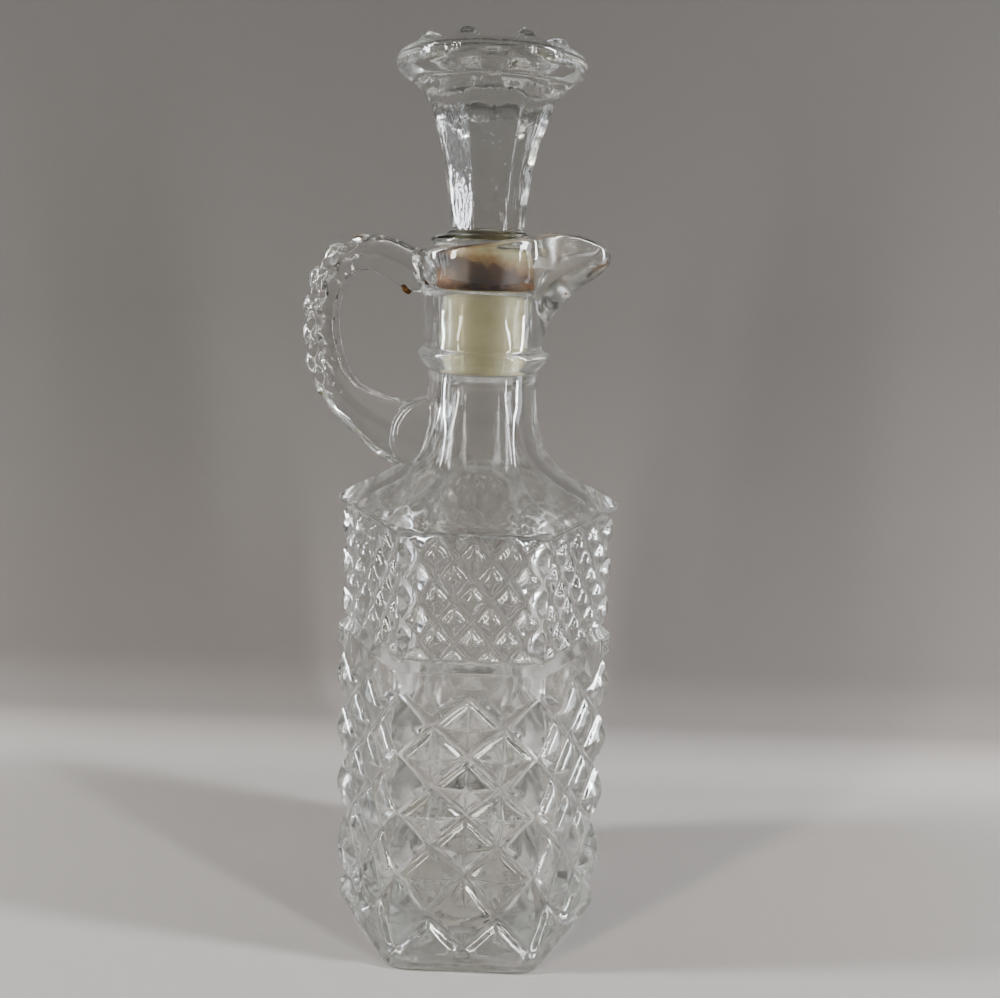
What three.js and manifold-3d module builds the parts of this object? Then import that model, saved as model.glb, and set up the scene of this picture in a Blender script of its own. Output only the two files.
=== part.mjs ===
import * as THREE from 'three';
import Module from 'manifold-3d';
import { mergeVertices } from 'three/addons/utils/BufferGeometryUtils.js';

// Pressed-glass oil and vinegar cruet, millimetres, +Z up, standing on z = 0.
// The hexagonal body has a flat face toward -Y and corners on +X and -X.
// The pouring lip points along +X, the loop handle stands on the -X corner.

// ---------------------------------------------------------------- body
const SIDE = 34;                 // length of one hexagon side, corner to corner of a face
const COLS = 8;                  // columns per face
const C30 = Math.cos(Math.PI / 6);
const FACE = SIDE * C30;         // apothem that gives the column directions
const FLOOR_FLAT = 28.9;         // apothem of the flat standing face
const FOOT = 29.8;               // apothem of the plain foot
const FLARE = 0.85;              // how far the foot spreads at the very bottom
const PLAIN = 30.0;              // apothem of the plain band
const LOWER_PEAK = 30.4;         // apothem at the tips of the large diamonds
const LOWER_DEPTH = 2.4;         // depth of the grooves between large diamonds
const LOWER_Z = [5.0, 14.2, 24.8, 33.0, 40.8, 48.3, 56.0, 63.6, 71.2];   // heights of the groove crossings
const LOWER_ROWS = 8;            // half diamonds from bottom to top
const BAND_TOP = 75.8;           // upper edge of the plain band, then a bevel
const UPPER_PEAK = 29.4;         // apothem at the tips of the small diamonds
const UPPER_DEPTH = 1.7;         // depth of the grooves between small diamonds
const UPPER_Z0 = 79.0;
const UPPER_B = 5.0;             // half height of a small diamond
const UPPER_ROWS = 6;
const EDGE = [[109.5, 29.75], [110.5, 29.95], [111.5, 29.35]];   // rolled shoulder edge, z and apothem

// corner radius of the shoulder and neck, and how hexagonal the section is
const SHOULDER_R = [[111.5, 33.9], [113, 31.9], [114.5, 29.2], [116.8, 24.7], [119.2, 20.9], [121.6, 18.1],
  [125, 15.9], [129, 14.5], [133, 13.6], [137, 13.1], [141.6, 13.0]];
const SHOULDER_W = [[111.5, 1], [114, 0.98], [121.6, 0.8], [129, 0.42], [137, 0]];
const RING = [[143.2, 13.1], [144.2, 14.3], [145.4, 15.3], [146.5, 15.74], [147.3, 15.55], [148.1, 14.7], [148.6, 14.1]];

// lip: plain side radius, reach of the spout, and tip radius, all by height
const LIP_R = [[148.6, 14.1], [155, 14.1], [158.8, 14.4], [162.3, 15.2], [164.5, 16.4], [167, 17.4], [169, 17.7], [175, 17.5]];
const LIP_X = [[148.6, 14.1], [151.7, 14.4], [155.7, 15.7], [158.8, 17.9], [161.7, 20.6], [164, 23.6], [166.1, 26.7],
  [168.4, 28.7], [170.3, 29.2], [175, 28.9]];
const LIP_T = [[148, 9], [158, 7], [164, 5], [168, 3.6], [175, 3.4]];
const MOUTH_R = [[162, 11.9], [163.5, 12.7], [166, 13.6], [169, 14.4], [175, 14.8]];
const MOUTH_X = [[162, 11.9], [165.2, 13.6], [167.3, 17], [169.4, 21.6], [170.6, 25], [171.5, 26.4], [175, 26.6]];
const MOUTH_T = [[162, 8], [167, 3], [170, 1.8], [175, 1.8]];
const RIM_Z = [[0, 171.7], [4, 172.3], [8, 173.4], [15, 174.5], [30, 174.9], [45, 174.4], [60, 173.6], [90, 172.1],
  [120, 171.1], [150, 170.5], [180, 170.3]];   // height of the rim by angle from the spout
const RIM_ROLL = 1.1;

// hollow
const BORE_R = 10.3;             // ground bore that takes the stopper sleeve
const BORE_TOP = 162;
const BORE_BOTTOM = 142.3;
const NECK_IN = 8.0;             // throat below the bore
const INSIDE_R = [[139.4, 8.1], [131, 8.6], [126, 9.6], [123.2, 10.5], [121, 11.5], [118.8, 13.1], [115.9, 16.1], [113.1, 19.9],
  [111.6, 22.3], [110.3, 24.0], [108.9, 25.4], [107, 26.0], [104, 26.2], [14, 26.2], [9.6, 24.9], [7.4, 22.0], [6.5, 16.2]];
const INSIDE_W = [[130, 0], [119.5, 0.15], [113, 0.32], [104, 0.4], [6, 0.4]];
const FLOOR_IN = 6.2;

// ---------------------------------------------------------------- handle
const HANDLE = [                 // centre line x, z and half thickness in the loop plane
  [-13.5, 165.0, 4.8], [-17.0, 165.9, 4.9], [-20.8, 167.6, 4.7], [-25.2, 169.1, 4.3], [-30.2, 169.0, 4.2],
  [-34.7, 166.5, 4.4], [-37.6, 161.7, 4.4], [-38.9, 155.7, 4.4], [-38.9, 149.4, 4.5], [-37.9, 143.7, 4.7],
  [-35.9, 139.0, 4.8], [-32.6, 134.9, 5.0], [-28.0, 131.4, 5.9], [-22.6, 128.4, 7.4], [-17.0, 126.4, 8.4], [-11.5, 125.4, 8.6]];
const HANDLE_WIDTH = 9.2;
const PAD_WIDTH = 12.4;           // where it runs into the shoulder
const HANDLE_STEPS = 34;
const NOTCH = 0.7;               // depth of the notches cut across the outer band
const CLEAR = 0.3;               // clearance between glass parts that meet

// ---------------------------------------------------------------- stopper
const TURN = 4;                  // degrees the stopper is turned from square
const PEG_R = 8.3;
const PEG = [[0, 143.2], [5.4, 143.4], [7.6, 144.2], [PEG_R, 145.8], [PEG_R, 170.6]];
const COLLAR = [[9.6, 170.9], [12.3, 171.4], [13.0, 172.5], [12.2, 173.6], [10.0, 174.4]];
const STEM = [[175.4, 9.3], [180, 9.75], [184, 10.25], [188.5, 11.0], [192.5, 11.95], [196.5, 13.1], [200.5, 14.6],
  [203, 15.75], [205, 16.95], [207, 18.6]];   // z and corner radius of the eight-panelled stem
const HEAD = [[207.4, 19.1], [208.1, 19.95], [209.0, 20.8], [210.1, 21.3], [211.0, 21.4], [211.9, 21.15], [212.7, 20.5], [213.3, 19.4]];
const CROWN = [[17.9, 213.6, 0.6], [16.2, 213.65, 2.3], [14.4, 213.7, 2.45], [12.0, 213.65, 1.85], [9.5, 213.55, 1.2], [6.5, 213.55, 0.5],
  [3.2, 213.9, 0.1]];   // radius, z and height of the points
const CROWN_TOP = 215.6;

// ---------------------------------------------------------------- sleeve
const SLEEVE_R = 10.0;
const SLEEVE_IN = 8.6;
const SLEEVE_Z0 = 142.9;
const SLEEVE_COLLAR_R = 11.4;
const SLEEVE_COLLAR_Z = 162.3;
const SLEEVE_TOP = 170.5;

// ---------------------------------------------------------------- helpers
const D = Math.PI / 180;

// straight-line interpolation in a table of [key, value] with rising or falling keys
function at(table, x, col = 1) {
  const up = table[0][0] < table[table.length - 1][0];
  const t = up ? table : [...table].reverse();
  if (x <= t[0][0]) return t[0][col];
  for (let i = 1; i < t.length; i += 1) {
    if (x <= t[i][0]) {
      const f = (x - t[i - 1][0]) / (t[i][0] - t[i - 1][0]);
      return t[i - 1][col] + f * (t[i][col] - t[i - 1][col]);
    }
  }
  return t[t.length - 1][col];
}

// closed surface from rows of points between two poles
function skin(rows, poleA, poleB, pick) {
  const n = rows[0].length;
  const pos = [];
  const idx = [];
  pos.push(...poleA);
  rows.forEach((row) => row.forEach((p) => pos.push(p[0], p[1], p[2])));
  pos.push(...poleB);
  const id = (r, c) => 1 + r * n + ((c + n) % n);
  const last = 1 + rows.length * n;
  for (let c = 0; c < n; c += 1) idx.push(0, id(0, c + 1), id(0, c));
  for (let r = 0; r + 1 < rows.length; r += 1) {
    for (let c = 0; c < n; c += 1) {
      const a = id(r, c);
      const b = id(r, c + 1);
      const d = id(r + 1, c);
      const e = id(r + 1, c + 1);
      if (pick && pick(r, c)) idx.push(a, b, e, a, e, d);
      else idx.push(a, b, d, b, e, d);
    }
  }
  for (let c = 0; c < n; c += 1) idx.push(last, id(rows.length - 1, c), id(rows.length - 1, c + 1));
  const g = new THREE.BufferGeometry();
  g.setAttribute('position', new THREE.Float32BufferAttribute(pos, 3));
  g.setIndex(idx);
  return g;
}

// columns of the hexagonal body: angle, cosine from the face normal, place along the face
const columns = [];
for (let f = 0; f < 6; f += 1) {
  for (let k = 0; k < COLS; k += 1) {
    const u = -SIDE / 2 + (k * SIDE) / COLS;
    const a = Math.atan2(u, FACE);
    columns.push({ th: (60 * f + 30) * D + a, cosr: Math.cos(a), u });
  }
}
const point = (c, r, z) => [r * Math.cos(c.th), r * Math.sin(c.th), z];
const hex = (c, apothem) => apothem / c.cosr;
const blend = (c, r, w) => r * (w * (C30 / c.cosr) + 1 - w);
// as hex, with rounded corners; n is large for sharp ones
const rounded = (c, apothem, n) => apothem * (c.cosr ** n + Math.cos(Math.PI / 3 - Math.acos(c.cosr)) ** n) ** (-1 / n);
const foot = (z) => FOOT + (PLAIN - FOOT) * Math.min(1, Math.max(0, (z - 6) / 10)) + FLARE * Math.max(0, 1 - z / 4.6) ** 2;

// distance from the grooves of a diamond lattice, 0 on a groove and 1 at a tip
const fold = (x) => Math.abs(x - 2 * Math.round(x / 2));
const lattice = (p, q) => Math.min(fold(p + q), fold(p - q));
const nearOdd = (p) => Math.abs(p - (2 * Math.floor(p / 2) + 1));

function lowerApothem(u, z) {
  const p = u / (SIDE / 4);
  const q = at(LOWER_Z.map((v, k) => [v, k]), z);
  const m = lattice(p, q);
  const edge = q >= LOWER_ROWS || q <= 0 || nearOdd(p) + Math.abs(q - LOWER_ROWS) < 0.999 || nearOdd(p) + Math.abs(q) < 0.999;
  if (edge) {
    const face = q > 4 ? PLAIN : foot(z);
    return Math.min(face, LOWER_PEAK - LOWER_DEPTH + (m / 0.35) * LOWER_DEPTH);
  }
  return LOWER_PEAK - LOWER_DEPTH * (1 - m);
}

function upperApothem(u, z) {
  const m = lattice(u / (SIDE / 8), (z - UPPER_Z0) / UPPER_B);
  return UPPER_PEAK - UPPER_DEPTH * (1 - m);
}

// plan outline of lip or mouth: a circle with a narrowing spout on +X
function outline(th, r, x, t) {
  if (x <= r + 0.02) return r;
  let a = Math.abs(Math.atan2(Math.sin(th), Math.cos(th)));
  const c = x - t;
  const al = Math.acos(Math.max(-1, Math.min(1, (r - t) / c)));
  const be = Math.atan2(t * Math.sin(al), c + t * Math.cos(al));
  if (a >= al) return r;
  if (a <= be) return c * Math.cos(a) + Math.sqrt(Math.max(0, t * t - (c * Math.sin(a)) ** 2));
  const s = Math.sin((Math.PI * (al - a)) / (al - be));
  return r / Math.cos(al - a) - 0.09 * (x - r) * s * s;
}
const rimZ = (th) => at(RIM_Z, Math.abs(Math.atan2(Math.sin(th), Math.cos(th))) / D);
const lipR = (th, z) => outline(th, at(LIP_R, z), at(LIP_X, z), at(LIP_T, z));
const mouthR = (th, z) => outline(th, at(MOUTH_R, z), at(MOUTH_X, z), at(MOUTH_T, z));

// ---------------------------------------------------------------- bottle
function outerRows(grow, relief) {
  const rows = [];
  const kind = [];
  const add = (fn, tag = null) => { rows.push(columns.map(fn)); kind.push(tag); };
  [[FLOOR_FLAT, 0, 26], [30.1, 0.28, 26], [30.5, 1.0, 26], [foot(2.4), 2.4, 34], [foot(3.8), 3.8, 80]]
    .forEach(([a, z, n]) => add((c) => point(c, rounded(c, a + grow, n), z)));
  if (relief) {
    for (let i = 0; i <= 2 * LOWER_ROWS; i += 1) {
      const z = at(LOWER_Z.map((v, k) => [k, v]), i / 2);
      add((c) => point(c, hex(c, lowerApothem(c.u, z)), z), { fn: lowerApothem, z });
    }
    add((c) => point(c, hex(c, PLAIN), BAND_TOP));
    for (let i = 0; i <= UPPER_ROWS; i += 1) {
      const z = UPPER_Z0 + i * UPPER_B;
      add((c) => point(c, hex(c, upperApothem(c.u, z)), z), { fn: upperApothem, z });
    }
  } else {
    add((c) => point(c, hex(c, LOWER_PEAK + grow), 20));
    add((c) => point(c, hex(c, LOWER_PEAK + grow), 108.5));
  }
  EDGE.forEach(([z, a]) => add((c) => point(c, hex(c, a + grow), z + grow * 0.7)));
  SHOULDER_R.slice(1).forEach(([z, r]) => add((c) => point(c, blend(c, r + grow, at(SHOULDER_W, z)), z + (z < 120 ? grow * 0.7 : 0))));
  RING.forEach(([z, r]) => add((c) => point(c, r + grow, z)));
  [0.22, 0.4, 0.52, 0.62, 0.72, 0.81, 0.9, 1].forEach((v) => add((c) => {
    const z = 148.6 + v * (rimZ(c.th) - RIM_ROLL - 148.6);
    return point(c, lipR(c.th, z) + grow, z);
  }));
  return { rows, kind };
}

function bottle() {
  const { rows, kind } = outerRows(0, true);
  const add = (fn) => { rows.push(columns.map(fn)); kind.push(null); };
  // rolled rim
  add((c) => {
    const z = rimZ(c.th);
    const ro = lipR(c.th, z - RIM_ROLL);
    const ri = mouthR(c.th, z - RIM_ROLL);
    return point(c, ro - 0.28 * (ro - ri), z - 0.12);
  });
  add((c) => {
    const z = rimZ(c.th);
    const ro = lipR(c.th, z - RIM_ROLL);
    const ri = mouthR(c.th, z - RIM_ROLL);
    return point(c, ro - 0.72 * (ro - ri), z - 0.12);
  });
  [1, 0.8, 0.6, 0.42, 0.24, 0.1, 0].forEach((v) => add((c) => {
    const z = BORE_TOP + v * (rimZ(c.th) - RIM_ROLL - BORE_TOP);
    return point(c, mouthR(c.th, z), z);
  }));
  [[BORE_R + 0.25, BORE_TOP], [BORE_R, BORE_TOP - 0.4], [BORE_R, BORE_BOTTOM], [NECK_IN + 0.9, BORE_BOTTOM - 1.2]]
    .forEach(([r, z]) => add((c) => point(c, r, z)));
  INSIDE_R.forEach(([z, r]) => add((c) => point(c, blend(c, r, at(INSIDE_W, z)), z)));
  // the lattice rows are split along their grooves
  const pick = (r, k) => {
    const a = kind[r];
    const b = kind[r + 1];
    if (!a || !b || a.fn !== b.fn) return false;
    const c = columns[k];
    const u1 = c.u + SIDE / COLS;
    const mid = a.fn((c.u + u1) / 2, (a.z + b.z) / 2);
    const d1 = (a.fn(c.u, a.z) + a.fn(u1, b.z)) / 2;
    const d2 = (a.fn(u1, a.z) + a.fn(c.u, b.z)) / 2;
    return Math.abs(d1 - mid) < Math.abs(d2 - mid) - 1e-9;
  };
  return skin(rows, [0, 0, 0], [0, 0, FLOOR_IN], pick);
}

// solid envelope of the bottle, grown by the clearance, that trims the handle ends
function envelope() {
  const { rows } = outerRows(CLEAR, false);
  rows.push(columns.map((c) => point(c, lipR(c.th, 175) + CLEAR, rimZ(c.th) + CLEAR)));
  rows[0] = columns.map((c) => point(c, hex(c, FLOOR_FLAT), -1));
  return skin(rows, [0, 0, -1], [0, 0, 176]);
}

// ---------------------------------------------------------------- handle
function handle() {
  const curve = new THREE.CatmullRomCurve3(HANDLE.map(([x, z]) => new THREE.Vector3(x, 0, z)), false, 'centripetal');
  const n = HANDLE_STEPS;
  const rows = [];
  // section: s along the outward normal as a share of the half thickness, y as a share of the half width
  const section = [[-1, 0], [-0.9, -0.45], [-0.55, -0.84], [0.1, -1], [0.5, -0.95], [0.82, -0.55], [1, 0],
    [0.82, 0.55], [0.5, 0.95], [0.1, 1], [-0.55, 0.84], [-0.9, 0.45]];
  for (let i = 0; i <= n; i += 1) {
    const t = i / n;
    const p = curve.getPoint(t);
    const g = curve.getTangent(t);
    const ox = g.z;
    const oz = -g.x;                       // outward normal of the loop
    const k = t * (HANDLE.length - 1);
    const j = Math.min(HANDLE.length - 2, Math.floor(k));
    const h = HANDLE[j][2] + (k - j) * (HANDLE[j + 1][2] - HANDLE[j][2]);
    const cut = i > 5 && i < n - 7 && i % 2 === 1 ? NOTCH : 0;
    const f = Math.min(1, Math.max(0, (p.x + 24) / 5)) * (t > 0.5 ? 1 : 0);
    const w = (HANDLE_WIDTH + (PAD_WIDTH - HANDLE_WIDTH) * f * f * (3 - 2 * f)) / 2;
    rows.push(section.map(([s, y]) => {
      const d = s * h - (s > 0.7 ? cut : 0);
      return [p.x + d * ox, y * w, p.z + d * oz];
    }));
  }
  const a = rows[0].reduce((m, q) => [m[0] + q[0] / 12, 0, m[2] + q[2] / 12], [0, 0, 0]);
  const b = rows[n].reduce((m, q) => [m[0] + q[0] / 12, 0, m[2] + q[2] / 12], [0, 0, 0]);
  return skin(rows, a, b);
}

// ---------------------------------------------------------------- stopper
function stopper() {
  const cols = [];
  for (let f = 0; f < 8; f += 1) {
    for (let k = 0; k < 4; k += 1) {
      const a = Math.atan(Math.tan(22.5 * D) * (-1 + k / 2));
      cols.push({ th: (45 * f + TURN) * D + a, cosr: Math.cos(a), k });
    }
  }
  const c22 = Math.cos(22.5 * D);
  const rows = [];
  const add = (fn) => rows.push(cols.map(fn));
  PEG.slice(1).forEach(([r, z]) => add((c) => point(c, r, z)));
  COLLAR.forEach(([r, z]) => add((c) => point(c, r, z)));
  STEM.forEach(([z, r]) => add((c) => point(c, r * (c22 / c.cosr), z)));
  HEAD.forEach(([z, r], i) => add((c) => {
    const v = Math.max(0, 0.5 - 0.14 * i);
    return point(c, r * (v * (c22 / c.cosr) + 1 - v), z);
  }));
  const bump = [1, 0.2, 0, 0.2];
  CROWN.forEach(([r, z, h]) => add((c) => point(c, r, z + h * bump[c.k])));
  return skin(rows, [0, 0, PEG[0][1]], [0, 0, CROWN_TOP]);
}

// ---------------------------------------------------------------- sleeve
function sleeve() {
  const p = [[SLEEVE_IN, SLEEVE_Z0 + 0.2], [SLEEVE_IN + 0.3, SLEEVE_Z0], [SLEEVE_R - 0.5, SLEEVE_Z0], [SLEEVE_R, SLEEVE_Z0 + 0.7],
    [SLEEVE_R, SLEEVE_COLLAR_Z], [SLEEVE_COLLAR_R - 0.2, SLEEVE_COLLAR_Z], [SLEEVE_COLLAR_R, SLEEVE_COLLAR_Z + 0.4],
    [SLEEVE_COLLAR_R + 0.2, SLEEVE_TOP - 1.2], [SLEEVE_COLLAR_R - 0.3, SLEEVE_TOP], [SLEEVE_IN, SLEEVE_TOP],
    [SLEEVE_IN, SLEEVE_Z0 + 0.2]].map(([r, z]) => new THREE.Vector2(r, z));
  const g = new THREE.LatheGeometry(p, 40);
  g.rotateX(Math.PI / 2);
  return g;
}

// ---------------------------------------------------------------- booleans
const wasm = await Module();
wasm.setup();
function toManifold(g) {
  const q = g.clone();
  q.deleteAttribute('normal');
  q.deleteAttribute('uv');
  const m = mergeVertices(q, 1e-4);
  return new wasm.Manifold(new wasm.Mesh({
    numProp: 3,
    vertProperties: new Float32Array(m.attributes.position.array),
    triVerts: new Uint32Array(m.index.array),
  }));
}
function fromManifold(m) {
  const out = m.getMesh();
  const g = new THREE.BufferGeometry();
  g.setAttribute('position', new THREE.BufferAttribute(new Float32Array(out.vertProperties), 3));
  g.setIndex(new THREE.BufferAttribute(new Uint32Array(out.triVerts), 1));
  return g;
}

const bottleGeometry = bottle();
const handleSolid = toManifold(handle()).subtract(toManifold(envelope()));
const handleGeometry = fromManifold(handleSolid);
const stopperGeometry = stopper();
const sleeveGeometry = sleeve();

// ---------------------------------------------------------------- scene
const glass = () => new THREE.MeshStandardMaterial({ color: 0xdfe6e2, roughness: 0.03, metalness: 0, transparent: true, opacity: 0.35 });
const plastic = new THREE.MeshStandardMaterial({ color: 0xd8d6a8, roughness: 0.45, metalness: 0 });

const part = new THREE.Group();
part.name = 'cruet';
[['bottle', bottleGeometry, glass()], ['handle', handleGeometry, glass()],
  ['stopper', stopperGeometry, glass()], ['stopper_sleeve', sleeveGeometry, plastic]].forEach(([name, g, m]) => {
  g.computeVertexNormals();
  const mesh = new THREE.Mesh(g, m);
  mesh.name = name;
  part.add(mesh);
});

export default part;
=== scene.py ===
import math

import bmesh
import bpy
import numpy as np
from mathutils import Matrix, Vector


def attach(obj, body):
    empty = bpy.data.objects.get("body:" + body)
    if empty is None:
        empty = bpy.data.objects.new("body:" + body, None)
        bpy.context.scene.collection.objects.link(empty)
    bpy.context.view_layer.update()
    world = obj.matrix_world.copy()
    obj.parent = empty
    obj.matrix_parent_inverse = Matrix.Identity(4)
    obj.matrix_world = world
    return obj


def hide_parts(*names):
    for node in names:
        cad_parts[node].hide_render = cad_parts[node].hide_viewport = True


# Clear pressed-glass cruet. Shapes are worked out in millimetres in the row frame
# and go into the meshes in metres.
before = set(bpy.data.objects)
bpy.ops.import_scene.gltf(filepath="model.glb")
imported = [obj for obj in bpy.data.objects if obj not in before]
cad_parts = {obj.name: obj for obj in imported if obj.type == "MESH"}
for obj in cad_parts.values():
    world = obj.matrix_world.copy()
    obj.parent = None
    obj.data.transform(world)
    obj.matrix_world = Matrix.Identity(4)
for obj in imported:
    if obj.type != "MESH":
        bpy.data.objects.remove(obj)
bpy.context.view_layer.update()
MM = 0.001
D = math.pi / 180

# ------------------------------------------------------------------ camera
cam_data = bpy.data.cameras.new("camera")
cam_data.sensor_fit = "HORIZONTAL"
cam_data.sensor_width = 36
cam_data.lens = 36
cam_data.clip_start = 0.01
cam_data.clip_end = 20
cam = bpy.data.objects.new("camera", cam_data)
bpy.context.scene.collection.objects.link(cam)
right = Vector((0.99930, 0.00850, 0.03630)).normalized()
look = Vector((0.0, 0.9738, -0.2275)).normalized()
up = right.cross(look).normalized()
right = look.cross(up).normalized()
turn = Matrix((right, up, -look)).transposed()
cam.matrix_world = Matrix.Translation((0.00529, -0.24050, 0.16745)) @ turn.to_4x4()
bpy.context.scene.camera = cam

# ------------------------------------------------------------------ sizes (mm)
SIDE = 34.0
C30 = math.cos(math.pi / 6)
FACE = SIDE * C30
FOOT = 29.8
PLAIN = 30.0
LOWER_PEAK = 30.4
LOWER_DEPTH = 2.4
LOWER_Q = [(5.0, 0), (14.2, 1), (24.8, 2), (33.0, 3), (40.8, 4), (48.3, 5), (56.0, 6), (63.6, 7), (71.2, 8)]
LOWER_ROWS = 8
UPPER_PEAK = 29.4
UPPER_DEPTH = 1.7
UPPER_Z0 = 79.0
UPPER_B = 5.0
UPPER_ROWS = 6

SHOULDER_R = [(111.5, 33.9), (113, 31.9), (114.5, 29.2), (116.8, 24.7), (119.2, 20.9), (121.6, 18.1),
              (125, 15.9), (129, 14.5), (133, 13.6), (137, 13.1), (141.6, 13.0)]
SHOULDER_W = [(111.5, 1), (114, 0.98), (121.6, 0.8), (129, 0.42), (137, 0), (142, 0)]
RING = [(141.6, 13.0), (142.6, 13.02), (143.1, 13.12), (143.6, 13.5), (144.2, 14.2), (144.9, 14.85), (145.6, 15.35), (146.2, 15.66),
        (146.7, 15.76), (147.15, 15.66), (147.5, 15.4), (147.8, 14.95), (148.0, 14.45), (148.25, 14.16), (148.6, 14.11), (149.2, 14.1)]
LIP_R = [(148.6, 14.1), (155, 14.1), (158.8, 14.4), (162.3, 15.2), (164.5, 16.4), (167, 17.4), (169, 17.7), (175, 17.5)]
LIP_X = [(148.6, 14.1), (151.7, 14.4), (155.7, 15.7), (158.8, 17.9), (161.7, 20.6), (164, 23.6), (166.1, 26.7),
         (168.4, 28.7), (170.3, 29.2), (175, 28.9)]
LIP_T = [(148, 9), (158, 7), (164, 5), (168, 3.6), (175, 3.4)]
MOUTH_R = [(162, 11.9), (163.5, 12.7), (166, 13.6), (169, 14.4), (175, 14.8)]
MOUTH_X = [(162, 11.9), (165.2, 13.6), (167.3, 17), (169.4, 21.6), (170.6, 25), (171.5, 26.4), (175, 26.6)]
MOUTH_T = [(162, 8), (167, 3), (170, 1.8), (175, 1.8)]
RIM_Z = [(0, 171.7), (4, 172.3), (8, 173.4), (15, 174.5), (30, 174.9), (45, 174.4), (60, 173.6), (90, 172.1),
         (120, 171.1), (150, 170.5), (180, 170.3)]
RIM_ROLL = 1.15
BORE_R = 10.3
BORE_TOP = 162.0
BORE_BOTTOM = 142.3
INSIDE_R = [(6.5, 16.2), (7.4, 22.0), (9.6, 24.9), (14, 26.2), (99, 26.2), (104, 26.2), (107, 26.0), (108.9, 25.4),
            (110.3, 24.0), (111.6, 22.3), (113.1, 19.9), (115.9, 16.1), (118.8, 13.1), (121, 11.5), (123.2, 10.5),
            (126, 9.6), (128.1, 9.1), (131, 8.6), (134, 8.3), (139.4, 8.1)]
INSIDE_W = [(6, 0.4), (104, 0.4), (113, 0.32), (119.5, 0.15), (130, 0), (140, 0)]
FLOOR_IN = 6.2

HANDLE = [(-13.9, 165.1, 4.8), (-17.0, 165.9, 4.9), (-20.8, 167.6, 4.7), (-25.2, 169.1, 4.3), (-30.2, 169.0, 4.2),
          (-34.7, 166.5, 4.4), (-37.6, 161.7, 4.4), (-38.9, 155.7, 4.4), (-38.9, 149.4, 4.5), (-37.9, 143.7, 4.7),
          (-35.9, 139.0, 4.8), (-32.6, 134.9, 5.0), (-28.0, 131.4, 5.9), (-22.6, 128.4, 7.4), (-17.0, 126.4, 8.4),
          (-11.5, 125.4, 8.6)]
HANDLE_W = 4.6

TURN = 4.0
STEM = [(174.9, 9.3), (175.4, 9.3), (180, 9.75), (184, 10.25), (188.5, 11.0), (192.5, 11.95), (196.5, 13.1), (200.5, 14.6),
        (203.0, 15.75), (205.0, 16.95), (206.3, 17.95), (207.0, 18.6)]


# ------------------------------------------------------------------ helpers
def pchip(table, x):
    """Smooth monotone curve through a table of (key, value), keys rising."""
    xs = np.array([t[0] for t in table], float)
    ys = np.array([t[1] for t in table], float)
    h = np.diff(xs)
    d = np.diff(ys) / h
    m = np.zeros_like(ys)
    for i in range(1, len(xs) - 1):
        if d[i - 1] * d[i] > 0:
            w1, w2 = 2 * h[i] + h[i - 1], h[i] + 2 * h[i - 1]
            m[i] = (w1 + w2) / (w1 / d[i - 1] + w2 / d[i])
    m[0], m[-1] = d[0], d[-1]
    x = np.clip(np.asarray(x, float), xs[0], xs[-1])
    i = np.clip(np.searchsorted(xs, x, side="right") - 1, 0, len(h) - 1)
    t = (x - xs[i]) / h[i]
    a, b = ys[i], ys[i + 1]
    return ((1 + 2 * t) * (1 - t) ** 2 * a + t * (1 - t) ** 2 * h[i] * m[i]
            + t * t * (3 - 2 * t) * b + t * t * (t - 1) * h[i] * m[i + 1])


def spline(points, steps):
    """Smooth open curve through points of any dimension, with its tangents; steps per span."""
    p = np.array(points, float)
    k = np.concatenate([[0], np.cumsum(np.linalg.norm(np.diff(p[:, :2], axis=0), axis=1) ** 0.75)])
    m = np.zeros_like(p)
    m[1:-1] = (((p[1:-1] - p[:-2]) / (k[1:-1] - k[:-2])[:, None]) * (k[2:] - k[1:-1])[:, None]
               + ((p[2:] - p[1:-1]) / (k[2:] - k[1:-1])[:, None]) * (k[1:-1] - k[:-2])[:, None]) / (k[2:] - k[:-2])[:, None]
    m[0] = (p[1] - p[0]) / (k[1] - k[0])
    m[-1] = (p[-1] - p[-2]) / (k[-1] - k[-2])
    out, tan = [], []
    for i in range(len(p) - 1):
        h = k[i + 1] - k[i]
        for t in np.arange(0, 1 + (1e-9 if i == len(p) - 2 else -1e-9), 1 / steps):
            out.append((1 + 2 * t) * (1 - t) ** 2 * p[i] + t * (1 - t) ** 2 * h * m[i]
                       + t * t * (3 - 2 * t) * p[i + 1] + t * t * (t - 1) * h * m[i + 1])
            tan.append((6 * t * t - 6 * t) * p[i] / h + (3 * t * t - 4 * t + 1) * m[i]
                       + (6 * t - 6 * t * t) * p[i + 1] / h + (3 * t * t - 2 * t) * m[i + 1])
    return np.array(out), np.array(tan)


def resample(curve, step):
    """Points along a polyline, about step apart."""
    s = np.concatenate([[0], np.cumsum(np.linalg.norm(np.diff(curve, axis=0), axis=1))])
    n = max(2, int(round(s[-1] / step)) + 1)
    q = np.linspace(0, s[-1], n)
    return np.stack([np.interp(q, s, curve[:, i]) for i in range(curve.shape[1])], axis=1)


_rng = np.random.default_rng(41)
_waves = []
for length in (31.0, 19.0, 13.0, 9.0):
    for _ in range(5):
        v = _rng.normal(size=3)
        v[2] *= 0.6
        _waves.append((v / np.linalg.norm(v) * 2 * math.pi / (length * _rng.uniform(0.85, 1.2)), _rng.uniform(0, 6.28),
                       length / 31.0))


def wavy(p, shift=0.0):
    """Smooth unevenness between about -1 and 1 at points p (n, 3) in mm."""
    out = np.zeros(len(p))
    for k, phase, amp in _waves:
        out += amp * np.sin(p @ k + phase + shift)
    return out / 4.2


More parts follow.
